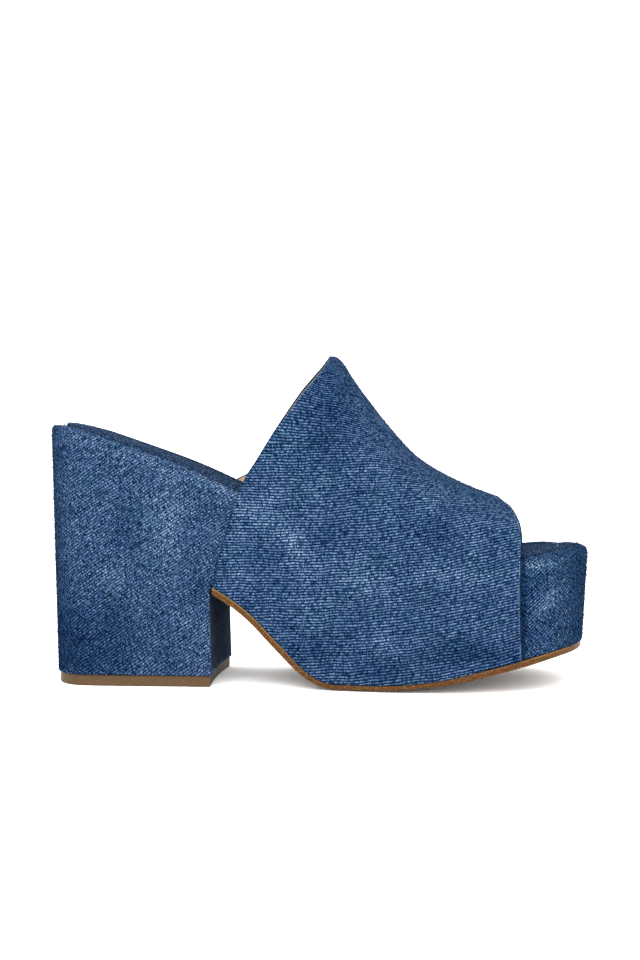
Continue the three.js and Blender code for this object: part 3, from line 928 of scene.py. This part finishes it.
@dataclass
class Upper:
    """The denim upper with its turned edges, and the leather that lines it. Millimetres of the frame.

    denim_share is the cloth's share of the wall, and layer_gap what is free between it and the lining, which
    stops lining_short before the edges. sharp is the widest turn within a face, in degrees. The ribs bend
    down from toe_start on by toe_bend. Above crest_start, over about crest_reach, they turn by crest_bend
    about crest_middle. From fold_from of the way round, over fold_over of it, the inner side's weave starts.
    """

    node: bpy.types.Object
    rows: int = 110
    columns: int = 300
    denim_share: float = 0.56
    layer_gap: float = 0.04
    lining_short: float = 0.9
    roll_steps: int = 6
    far_mm: float = 30.0
    sharp: float = 50.0
    toe_start: float = 62.0
    toe_bend: float = 0.00145
    crest_start: float = 97.0
    crest_reach: float = 45.0
    crest_middle: float = 82.0
    crest_bend: float = 0.008
    fold_from: float = 0.5
    fold_over: float = 0.25
    wash_and_shade: tuple[Patch, ...] = UPPER_WASH

    def build(self, denim: bpy.types.Material, leather: bpy.types.Material) -> list[bpy.types.Object]:
        """Builds both layers.

        Args:
            denim: The cloth.
            leather: The lining.

        Returns:
            The two pieces.
        """
        solid = Solid.of(self.node)
        middle = solid.points[solid.faces].mean(axis=1)
        outer = Sheet(solid, solid.smooth_part(int(np.argmin(middle[:, 1])), self.sharp))
        inner = Sheet(solid, solid.smooth_part(self._inner_seed(solid, middle), self.sharp))
        cloth = self._layer("upper_denim", outer, inner, (0.0, self.denim_share), 0.0)
        lining = self._layer("upper_lining", outer, inner, (self.denim_share + self.layer_gap, 1.0),
                             self.lining_short)
        settle(cloth, Slot.UPPER, "upper", denim)
        settle(lining, Slot.UPPER, None, leather)
        return [cloth, lining]

    @staticmethod
    def _inner_seed(solid: Solid, middle: np.ndarray) -> int:
        """A triangle of the upper's inner face, found on the wall at the ball."""
        normal = solid.normals()
        low, high = solid.points.min(0), solid.points.max(0)
        faces_in = (normal[:, 1] > 0.9) & (middle[:, 1] < 0)
        target = np.array([(low[0] + high[0]) / 2, low[1], low[2] + (high[2] - low[2]) * 0.2])
        gap = np.where(faces_in, np.linalg.norm(middle - target, axis=1), np.inf)
        return int(np.argmin(gap))

    def _layer(self, name: str, outer: Sheet, inner: Sheet, shares: tuple[float, float],
               short: float) -> bpy.types.Object:
        """One closed layer of the upper.

        Args:
            name: The piece's name.
            outer: The upper's outer face.
            inner: Its inner face.
            shares: Where the layer starts and ends in the wall, from its outer face, 0, to its inner one, 1.
            short: How far it stops short of the upper's edges.

        Returns:
            The piece.
        """
        columns = np.linspace(0, 1, self.columns + 1)
        spread = np.linspace(0, 1, self.rows + 1)
        ends = outer.at(np.array([0.0, 1.0]), columns)
        length = np.linalg.norm(ends[1] - ends[0], axis=1)
        wall = np.linalg.norm(outer.at(spread[:1], columns) - inner.at(spread[:1], columns), axis=2)[0]
        inset = ((shares[1] - shares[0]) * wall / 2 + short * MM) / length
        rows = inset[None, :] + spread[:, None] * (1 - 2 * inset[None, :])
        face, back = outer.at(rows, columns), inner.at(rows, columns)
        top, under = (face + (back - face) * share for share in shares)
        loop = [*top, *self._roll(top[-1], under[-1], top[-1] - top[-2]), *under[::-1],
                *self._roll(under[0], top[0], top[0] - top[1])]
        points = np.array(loop)
        count, wide = points.shape[:2]
        pairs = [(i * wide, (i + 1) % count * wide) for i in range(count)]
        faces = [(a + j, b + j, b + j + 1, a + j + 1) for a, b in pairs for j in range(wide - 1)]
        faces += self._caps(count, wide)
        made = mesh_object(name, points.reshape(-1, 3), faces)
        self._dress(made, points, face, spread, length)
        return made

    @staticmethod
    def _folded(along: np.ndarray, across: np.ndarray, up: np.ndarray) -> np.ndarray:
        """Weave coordinates of the inner side, where the outer side's cloth goes on over the crest.

        Args:
            along: How far along the shoe each place of the face is.
            across: How far round the face it is, from the outer side's lower edge.
            up: How far up the inner side it is.

        Returns:
            Along and across the ribs, as the outer side's cloth folded flat over the straight crest.
        """
        middle = along.shape[1] // 2
        (peak, low), (top, foot) = along[[0, -1], middle], across[[0, -1], middle]
        slope = math.atan2(top - foot, low - peak)
        ahead, down = math.cos(slope), math.sin(slope)
        run = (along - peak) * ahead + (top - up) * down
        return np.stack([2 * (peak + run * ahead) - along, 2 * (top - run * down) - up], 2)

    def _roll(self, start: np.ndarray, end: np.ndarray, out: np.ndarray) -> list[np.ndarray]:
        """Rounds an edge from one face of a layer to the other.

        Args:
            start: The first face's edge.
            end: The other face's edge.
            out: The way out of the edge.

        Returns:
            The rows of corners between the two.
        """
        centre, arm = (start + end) / 2, (start - end) / 2
        reach = np.linalg.norm(arm, axis=1, keepdims=True)
        out = out / np.linalg.norm(out, axis=1, keepdims=True) * reach
        turns = np.linspace(0, math.pi, self.roll_steps + 1)[1:-1]
        return [centre + arm * math.cos(turn) + out * math.sin(turn) for turn in turns]

    def _caps(self, count: int, wide: int) -> list[tuple[int, ...]]:
        """Closes a layer along its two lower edges.

        Args:
            count: How many rows of corners go round it.
            wide: How many corners a row has.

        Returns:
            The faces of both edges.
        """
        top = list(range(self.rows + 1))
        under = [2 * self.rows + self.roll_steps - k for k in top]
        faces = []
        for column, flip in ((0, 1), (wide - 1, -1)):
            for k in range(self.rows):
                quad = (top[k], under[k], under[k + 1], top[k + 1])[::flip]
                faces.append(tuple(i * wide + column for i in quad))
            for end in (range(self.rows, self.rows + self.roll_steps + 1),
                        range(count - self.roll_steps, count + 1)):
                faces.append(tuple(i % count * wide + column for i in end)[::-flip])
        return faces

    def _weave(self, face: np.ndarray) -> np.ndarray:
        """Weave coordinates of the upper's outer face.

        Args:
            face: Its rows of corners.

        Returns:
            Along and across the ribs at each corner, in metres.
        """
        step = np.diff(face, axis=1)
        rise = np.cumsum(np.hypot(step[..., 1], step[..., 2]), 1)
        rise = np.concatenate([np.zeros((len(face), 1)), rise], 1)
        along, across = face[..., 0] / MM, (face[:, :1, 2] + rise) / MM
        over = self.crest_reach * np.tanh(np.maximum(across - self.crest_start, 0) / self.crest_reach)
        bend = (self.toe_bend * np.maximum(along - self.toe_start, 0) ** 2
                - self.crest_bend * over * (along - self.crest_middle))
        inner = np.clip((np.linspace(0, 1, face.shape[1]) - self.fold_from) / self.fold_over, 0, 1)
        inner = (inner ** 2 * (3 - 2 * inner))[None, :, None]
        outer_weave = np.stack([along, across - bend], 2)
        up = across[:, -1:] - across + face[:, -1:, 2] / MM
        return (outer_weave + inner * (self._folded(along, across, up) - outer_weave)) * MM

    def _dress(self, made: bpy.types.Object, points: np.ndarray, face: np.ndarray, spread: np.ndarray,
               length: np.ndarray) -> None:
        """Stores a layer's weave map, wash and painted shade, and distances from the two folded edges.

        Args:
            made: The piece.
            points: Its loop of rows of corners.
            face: The rows of its outer face.
            spread: Where those rows lie, from the back edge, 0, to the front edge, 1.
            length: The distance between the edges, for each column.
        """
        order, turned_back = np.arange(len(points)), 2 * self.rows + self.roll_steps
        rows = np.clip(np.minimum(order, turned_back - order), 0, self.rows)
        set_weave(made, self._weave(face)[rows].reshape(-1, 2))
        set_number(made, "wash_and_shade", sum(patch.weigh(points.reshape(-1, 3)) for patch in self.wash_and_shade))
        back = spread[rows][:, None] * length[None, :] / MM
        front = (1 - spread[rows])[:, None] * length[None, :] / MM
        back[order > self.rows], front[order > self.rows] = self.far_mm, self.far_mm
        front[(order > self.rows) & (order < self.rows + self.roll_steps)] = 0.0
        back[order > turned_back] = 0.0
        set_number(made, "back", back.reshape(-1))
        set_number(made, "front", front.reshape(-1))


@dataclass
class Covered:
    """A block wrapped in denim: the heel or the platform. Millimetres and degrees.

    The ribs rise by tilt along the block. Where it has a panel, the faces turned more than the share turned
    towards the toe take a copy of the cloth tuned to their shade: painted shade.
    """

    node: bpy.types.Object
    name: str
    tilt: float
    wash_and_shade: tuple[Patch, ...]
    shade_panel: bool = False
    rounding: float = 0.8
    turned: float = 0.75
    levels: int = 2

    def build(self, denim: bpy.types.Material, shade_panel: bpy.types.Material) -> bpy.types.Object:
        """Builds the cover.

        Args:
            denim: The cloth.
            shade_panel: A copy of the cloth for a face that looks towards the toe, tuned to its shade:
                painted shade.

        Returns:
            The piece.
        """
        made = smooth_copy(self.node, self.name, self.rounding, self.levels)
        points = corners_of(made)
        set_weave(made, wrap(points, self.tilt))
        set_number(made, "wash_and_shade", sum(patch.weigh(points) for patch in self.wash_and_shade))
        settle(made, Slot.COVER, self.node.name, denim, shade_panel)
        middle = points[:, 0].mean()
        # Faces turned towards the toe take the copy of the cloth that stands in for their shade: painted
        # shade.
        for polygon in made.data.polygons:
            ahead = polygon.normal.x > self.turned and polygon.center.x > middle and self.shade_panel
            polygon.material_index = int(ahead)
        return made


@dataclass
class Insole:
    """The padded insole in its denim cover. Millimetres and degrees.

    Its ribs run at tilt to the shoe. It is pressed down by sink at the places sink_at along the shoe.
    """

    node: bpy.types.Object
    tilt: float = 35.0
    sink: tuple[float, float] = (0.4, 0.25)
    sink_at: tuple[float, float] = (60.0, 120.0)
    rounding: float = 0.3
    # shade darkens the whole cloth: painted shade for the footbed, which lies deep in the shoe.
    shade: float = -0.25
    fill: float = 0.9

    def build(self, denim: bpy.types.Material) -> bpy.types.Object:
        """Builds the insole, with its underside pressed down onto the covers.

        Args:
            denim: The cloth.

        Returns:
            The piece.
        """
        made = smooth_copy(self.node, "insole_cover", self.rounding, 2)
        for corner in made.data.vertices:
            corner.co.z -= MM * float(np.interp(corner.co.x / MM, self.sink_at, self.sink))
        points = corners_of(made)
        turn = math.radians(self.tilt)
        along = points[:, 0] * math.cos(turn) + points[:, 1] * math.sin(turn)
        across = points[:, 1] * math.cos(turn) - points[:, 0] * math.sin(turn) + points[:, 2]
        set_weave(made, np.stack([along, across], 1))
        # The insole's wash is its painted shade, the same all over.
        set_number(made, "wash_and_shade", np.full(len(points), self.shade))
        settle(made, Slot.INSOLE, "insole", denim)
        return made


@dataclass
class Outsole:
    """The leather outsole with its stained edge.

    Its tread is what lies below the share tread_height of its height, and within tread_width of its width.
    """

    node: bpy.types.Object
    rounding: float = 0.3
    tread_height: float = 0.05
    tread_width: float = 0.97
    near: float = 4 * MM
    thinnest: float = 1e-5

    def build(self, leather: bpy.types.Material) -> bpy.types.Object:
        """Builds the sole.

        Args:
            leather: The sole's leather.

        Returns:
            The piece.
        """
        made = smooth_copy(self.node, "sole", self.rounding, 1)
        points = corners_of(made)
        solid = Solid.of(self.node)
        normal, middle = solid.normals(), solid.points[solid.faces].mean(1)
        low = self._height(middle[normal[:, 2] < -0.5], points)
        high = self._height(middle[normal[:, 2] > 0.5], points)
        share = np.clip((points[:, 2] - low) / np.maximum(high - low, self.thinnest), 0, 1)
        aside = np.abs(points[:, 1]) / np.maximum(self._reach(solid.points, points), self.thinnest)
        tread = (share < self.tread_height) & (aside < self.tread_width)
        set_number(made, "height", share)
        set_number(made, "tread", np.where(tread, 1.0, 0.0))
        settle(made, Slot.SOLE, "outsole", leather)
        return made

    @staticmethod
    def _height(face: np.ndarray, points: np.ndarray) -> np.ndarray:
        """How high a face of the sole is at each point's place along the shoe."""
        order = np.argsort(face[:, 0])
        return np.interp(points[:, 0], face[order, 0], face[order, 2])

    def _reach(self, solid: np.ndarray, points: np.ndarray) -> np.ndarray:
        """Half the sole's width at each point's place along the shoe.

        Args:
            solid: The corners of the sole's solid.
            points: The points.

        Returns:
            The half width there.
        """
        order = np.argsort(solid[:, 0])
        x, y = solid[order, 0], np.abs(solid[order, 1])
        reach = np.array([y[np.abs(x - at) < self.near].max() for at in x])
        return np.interp(points[:, 0], x, reach)


@dataclass
class TopLift:
    """The rubber top lift under the heel. Millimetres."""

    node: bpy.types.Object
    rounding: float = 0.5

    def build(self, rubber: bpy.types.Material) -> bpy.types.Object:
        """Builds the lift.

        Args:
            rubber: Its rubber.

        Returns:
            The piece.
        """
        made = smooth_copy(self.node, "lift", self.rounding, 2)
        settle(made, Slot.LIFT, "top_lift", rubber)
        return made


@dataclass(frozen=True)
class Growth:
    """How the fibres of a tuft grow: their length in millimetres, how far they stand up, where they are
    pulled, how they curl, and their shades from dark, 0, to pale, 1."""

    length: tuple[float, float]
    lift: float = 0.35
    pull: Place = (0.0, 0.0, 0.0)
    curl: float = 0.5
    shade: tuple[float, float] = (0.0, 1.0)


@dataclass
class Tuft:
    """Fibres that grow from a part of a piece's surface."""

    roots: np.ndarray
    normals: np.ndarray
    growth: Growth

    ROOTED, RISE, LIFTS = 0.03, 0.1, (0.3, 1.6)

    @classmethod
    def over(cls, piece: bpy.types.Object, count: int, seed: int, growth: Growth, keep: Choice) -> "Tuft":
        """Scatters roots over the chosen faces of a piece, by area.

        Args:
            piece: The piece.
            count: How many fibres.
            seed: What the scatter starts from.
            growth: How they grow.
            keep: Tells which faces are used, from their middles and normals.

        Returns:
            The tuft.
        """
        piece.data.calc_loop_triangles()
        mesh = piece.data
        faces = np.zeros(len(mesh.loop_triangles) * 3, np.int32)
        mesh.loop_triangles.foreach_get("vertices", faces)
        corners = corners_of(piece)[faces.reshape(-1, 3)]
        cross = np.cross(corners[:, 1] - corners[:, 0], corners[:, 2] - corners[:, 0])
        area = np.linalg.norm(cross, axis=1)
        normal = cross / np.maximum(area[:, None], 1e-15)
        area = area * keep(corners.mean(1), normal)
        chance = np.random.default_rng(seed)
        picked = chance.choice(len(area), count, p=area / area.sum())
        a, b = chance.random((2, count, 1))
        flip = a + b > 1
        a, b = np.where(flip, 1 - a, a), np.where(flip, 1 - b, b)
        c = corners[picked]
        return cls(c[:, 0] + a * (c[:, 1] - c[:, 0]) + b * (c[:, 2] - c[:, 0]), normal[picked], growth)

    def grow(self, chance: np.random.Generator, bends: int) -> tuple[np.ndarray, np.ndarray]:
        """Lets the fibres grow.

        Args:
            chance: Where the random numbers come from.
            bends: How many pieces a fibre has.

        Returns:
            Each fibre's points, and its shade from dark, 0, to pale, 1.
        """
        count, growth = len(self.roots), self.growth
        aside = np.cross(self.normals, chance.normal(size=(count, 3)))
        aside /= np.maximum(np.linalg.norm(aside, axis=1, keepdims=True), 1e-9)
        lift = growth.lift * chance.uniform(*self.LIFTS, (count, 1))
        way = aside + self.normals * lift + np.array(growth.pull)
        long = chance.uniform(*growth.length, (count, 1)) * MM / bends
        spine = [self.roots - self.normals * self.ROOTED * MM]
        for _ in range(bends):
            way = way / np.linalg.norm(way, axis=1, keepdims=True)
            spine.append(spine[-1] + way * long)
            way = way + chance.normal(scale=growth.curl, size=(count, 3)) + self.normals * self.RISE
        return np.stack(spine, 1), chance.uniform(*growth.shade, count)


@dataclass
class Lint:
    """Loose fibres on the cloth's faces and edges, as fine closed tubes joined in one mesh. Millimetres."""

    name: str
    slot: Slot
    seed: int
    radius: float
    bends: int = 3
    sides: int = 3
    taper: float = 0.55

    def build(self, tufts: list[Tuft], fibre: bpy.types.Material) -> bpy.types.Object:
        """Builds the fibres.

        Args:
            tufts: Where they grow and how.
            fibre: Their cotton.

        Returns:
            The piece.
        """
        chance = np.random.default_rng(self.seed)
        grown = [tuft.grow(chance, self.bends) for tuft in tufts]
        spines = np.concatenate([spine for spine, _ in grown])
        shades = np.concatenate([shade for _, shade in grown])
        count, knots = spines.shape[:2]
        ahead = np.gradient(spines, axis=1)
        ahead /= np.linalg.norm(ahead, axis=2, keepdims=True)
        aside = np.cross(ahead, chance.normal(size=(count, 1, 3)))
        aside /= np.linalg.norm(aside, axis=2, keepdims=True)
        other = np.cross(ahead, aside)
        thick = self.radius * MM * np.interp(np.arange(knots), [0, knots - 1], [1.0, self.taper])
        turns = [2 * math.pi * k / self.sides for k in range(self.sides)]
        rings = np.stack([spines + (aside * math.cos(t) + other * math.sin(t)) * thick[None, :, None]
                          for t in turns], 2)
        base = np.arange(count)[:, None] * knots * self.sides
        quads = [[k * self.sides + a, k * self.sides + b, (k + 1) * self.sides + b, (k + 1) * self.sides + a]
                 for k in range(knots - 1) for a, b in ((a, (a + 1) % self.sides) for a in range(self.sides))]
        ends = [list(range(self.sides))[::-1], [(knots - 1) * self.sides + k for k in range(self.sides)]]
        faces = [list(row) for part in quads + ends for row in base + np.array(part)[None, :]]
        made = mesh_object(self.name, rings.reshape(-1, 3), faces)
        set_number(made, "shade", np.repeat(shades, knots * self.sides))
        settle(made, self.slot, None, fibre)
        return made


NAP = Growth((0.35, 1.0), lift=0.3)
TANGLE = Growth((0.4, 1.1), lift=0.7, curl=0.9, shade=(0.0, 0.4))
CURL = Growth((2.0, 3.6), lift=0.6, curl=0.9, pull=(0.0, 0.0, 0.4), shade=(0.0, 0.2))
PALE_END = Growth((0.3, 0.7), lift=0.7, shade=(0.7, 1.5))
RAW_EDGE = Growth((0.3, 1.1), lift=0.5, pull=(0.0, 0.0, 0.3))
RAW_FACE = Growth((0.4, 1.0), lift=0.9, shade=(0.0, 0.7))


@dataclass
class Cotton:
    """The lint of the whole shoe, on its dressed pieces. Metres of the frame.

    The upper hides the platform up to toe_from, and the insole's face from heel_to to toe_seen. Its own fuzz
    starts at the height crest_from. The heel's pale ends reach up to hem_to, its curls stand at curl_at, and
    loose threads at the places thread_at along the insole.
    """

    cloth: bpy.types.Object
    heel: bpy.types.Object
    platform: bpy.types.Object
    insole: bpy.types.Object
    toe_from: float = 0.156
    toe_seen: float = 0.15
    heel_to: float = 0.06
    crest_from: float = 0.06
    hem_to: float = 0.0065
    curl_at: float = -0.032
    thread_at: tuple[float, ...] = (0.033, 0.0435, 0.006)

    def build(self, fibre: bpy.types.Material) -> list[bpy.types.Object]:
        """Builds the lint.

        Args:
            fibre: Its cotton.

        Returns:
            The four pieces.
        """
        return [
            Lint("cover_nap", Slot.COVER, 3, radius=0.05).build(self._nap(), fibre),
            Lint("cover_fuzz", Slot.COVER, 5, radius=0.14).build(self._fuzz(), fibre),
            Lint("upper_fuzz", Slot.UPPER, 6, radius=0.07).build(self._crest(), fibre),
            Lint("insole_fray", Slot.INSOLE, 4, radius=0.08).build(self._fray(), fibre),
        ]

    def _nap(self) -> list[Tuft]:
        """The short hairs of the covers' cloth."""
        return [
            Tuft.over(self.heel, 3200, 11, NAP, lambda place, normal: normal[:, 2] > -0.6),
            Tuft.over(self.platform, 2600, 12, NAP,
                      lambda place, normal: (normal[:, 2] > -0.6) * (place[:, 0] > self.toe_from)),
        ]

    def _fuzz(self) -> list[Tuft]:
        """The rough outlines of the covers, the pale ends above the top lift, and a few curls."""
        return [
            Tuft.over(self.heel, 2600, 14, TANGLE,
                      lambda place, normal: (normal[:, 0] < -0.6) | (normal[:, 2] > 0.4)),
            Tuft.over(self.platform, 2000, 15, TANGLE,
                      lambda place, normal: ((normal[:, 0] > 0.5) | (normal[:, 2] > 0.4))
                      * (place[:, 0] > self.toe_from)),
            Tuft.over(self.heel, 260, 19, PALE_END,
                      lambda place, normal: (place[:, 2] < self.hem_to) * (np.abs(normal[:, 2]) < 0.9)),
            Tuft.over(self.heel, 4, 16, CURL,
                      lambda place, normal: (np.abs(place[:, 0] - self.curl_at) < 0.0015)
                      * (place[:, 1] < -0.008) * (normal[:, 2] > 0.4)),
        ]

    def _crest(self) -> list[Tuft]:
        """The rough outline of the upper's crest."""
        return [Tuft.over(self.cloth, 2600, 17, TANGLE,
                          lambda place, normal: (normal[:, 2] > 0.5) * (place[:, 2] > self.crest_from))]

    def _fray(self) -> list[Tuft]:
        """The insole's raw edge, the fuzz of its face, and a few loose threads."""
        return [
            Tuft.over(self.insole, 2000, 13, RAW_EDGE, lambda place, normal: np.abs(normal[:, 2]) < 0.75),
            Tuft.over(self.insole, 5200, 18, RAW_FACE,
                      lambda place, normal: (normal[:, 2] > 0.7) * (place[:, 1] < 0)
                      * ((place[:, 0] < self.heel_to) | (place[:, 0] > self.toe_seen))),
            *(Tuft.over(self.insole, 2, 20 + k, CURL,
                        lambda place, normal, at=at: (np.abs(place[:, 0] - at) < 0.0012)
                        * (place[:, 1] < 0) * (np.abs(normal[:, 2]) < 0.9))
              for k, at in enumerate(self.thread_at)),
        ]


def aimed(source: Place, target: Place) -> Euler:
    """The turn that makes a camera or a light at one place look at another.

    Args:
        source: Where it stands.
        target: What it looks at.

    Returns:
        The turn about x, y and z.
    """
    return (Vector(target) - Vector(source)).to_track_quat("-Z", "Y").to_euler()


@dataclass(frozen=True)
class Lamp:
    """A soft square light that faces the shoe. Metres and watts."""

    name: str
    place: Place
    size: float
    power: float
    target: Place = (0.08, 0.0, 0.06)

    def build(self) -> None:
        """Adds the light."""
        data = bpy.data.lights.new(self.name, "AREA")
        data.size, data.energy = self.size, self.power
        lamp = bpy.data.objects.new(self.name, data)
        lamp.location = self.place
        lamp.rotation_euler = aimed(self.place, self.target)
        bpy.context.scene.collection.objects.link(lamp)


@dataclass
class Stage:
    """The pale floor, the soft studio light and the camera. Metres, but lens and sensor in millimetres."""

    eye: Place = (0.1144, -0.5588, 0.0852)
    target: Place = (0.0773, 0.0, 0.0852)
    lens: float = 48.51
    sensor: float = 36.0
    floor_half: float = 0.8
    floor_shade: float = 0.98
    sky: float = 2.1
    lamps: tuple[Lamp, ...] = (
        Lamp("overhead", (0.1, -0.9, 1.6), 1.2, 18.0),
        Lamp("key", (0.05, -1.7, 0.8), 1.5, 42.0),
    )

    def build(self) -> None:
        """Builds the floor, the lights and the camera."""
        self._floor()
        world = bpy.data.worlds.new("studio")
        world.use_nodes = True
        world.node_tree.nodes["Background"].inputs["Color"].default_value = (1, 1, 1, 1)
        world.node_tree.nodes["Background"].inputs["Strength"].default_value = self.sky
        bpy.context.scene.world = world
        for lamp in self.lamps:
            lamp.build()
        self._camera()
        bpy.context.scene.view_settings.view_transform = "Standard"

    def _floor(self) -> None:
        """Builds the floor."""
        half, shade = self.floor_half, self.floor_shade
        corners = np.array([(-half, -half, 0), (half, -half, 0), (half, half, 0), (-half, half, 0)])
        floor = mesh_object("floor", corners, [(0, 1, 2, 3)], smooth=False)
        paint, _, shader = new_material("floor_paint", roughness=1.0, gloss=0.0)
        shader.inputs["Base Color"].default_value = (shade, shade, shade, 1)
        floor.data.materials.append(paint)

    def _camera(self) -> None:
        """Sets up the camera at the photograph's view."""
        data = bpy.data.cameras.new("camera")
        data.lens, data.sensor_width, data.clip_start = self.lens, self.sensor, 0.01
        camera = bpy.data.objects.new("camera", data)
        camera.location = self.eye
        camera.rotation_euler = aimed(self.eye, self.target)
        bpy.context.scene.collection.objects.link(camera)
        bpy.context.scene.camera = camera


UPPER_DENIM = Denim("upper_twill", hem=True)
COVER_DENIM = Denim("cover_twill", tone=77.0, contrast=1.12, dash=1.05, broken=0.85, rib=0.5, grain=1.95,
                    cast=(10, 5, 0))
TOE_DENIM = Denim("toe_twill", tone=66.0, contrast=1.1, pitch=1.03, dash=1.0, broken=0.85, rib=0.55,
                  grain=1.95, cast=(7, 5, 0))
# The breast face's cloth: painted shade, a greyer copy with faint ribs tuned to that face's shade.
BREAST_SHADE_DENIM = Denim("breast_painted_shade_twill", tone=81.0, contrast=0.35, cast=(40, 17, -6))
INSOLE_DENIM = Denim("insole_twill", tone=74.0, pitch=1.0, dash=0.9, broken=0.8, rib=0.5, grain=1.9,
                     cast=(18, 8, 0))
LINING = Leather("lining_leather", srgb(158, 129, 104), srgb(133, 106, 82))
SOLE_EDGE = SoleEdge("sole_edge", srgb(106, 80, 40), srgb(46, 34, 6), srgb(68, 27, 5), srgb(78, 59, 40))
LIFT = Rubber("lift_rubber", srgb(69, 52, 34), srgb(61, 45, 27))
COTTON = Fibre("cotton_fibre", srgb(7, 16, 33), srgb(85, 107, 138))


def main() -> None:
    """Builds the mule and its stage."""
    logging.basicConfig(level=logging.INFO, format="%(message)s")
    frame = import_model()
    nodes = frame["nodes"]
    twill, tint = TwillGroup(), TintGroup()
    upper, cover, toe, shade_panel, footbed = (
        finish.material(twill, tint)
        for finish in (UPPER_DENIM, COVER_DENIM, TOE_DENIM, BREAST_SHADE_DENIM, INSOLE_DENIM))
    cloth, lining = Upper(nodes["upper"]).build(upper, LINING.material())
    heel = Covered(nodes["heel"], "heel_cover", 33, HEEL_WASH_AND_SHADE, shade_panel=True).build(cover, shade_panel)
    platform = Covered(nodes["platform"], "platform_cover", 42, TOE_WASH_AND_SHADE, levels=3).build(toe, shade_panel)
    insole = Insole(nodes["insole"]).build(footbed)
    sole = Outsole(nodes["outsole"]).build(SOLE_EDGE.material())
    lift = TopLift(nodes["top_lift"]).build(LIFT.material())
    lint = Cotton(cloth, heel, platform, insole).build(COTTON.material())
    for piece in (cloth, lining, heel, platform, insole, sole, lift, *lint):
        LOG.info("%s: %d faces", piece.name, len(piece.data.polygons))
    Stage().build()


if __name__ == "__main__":
    main()
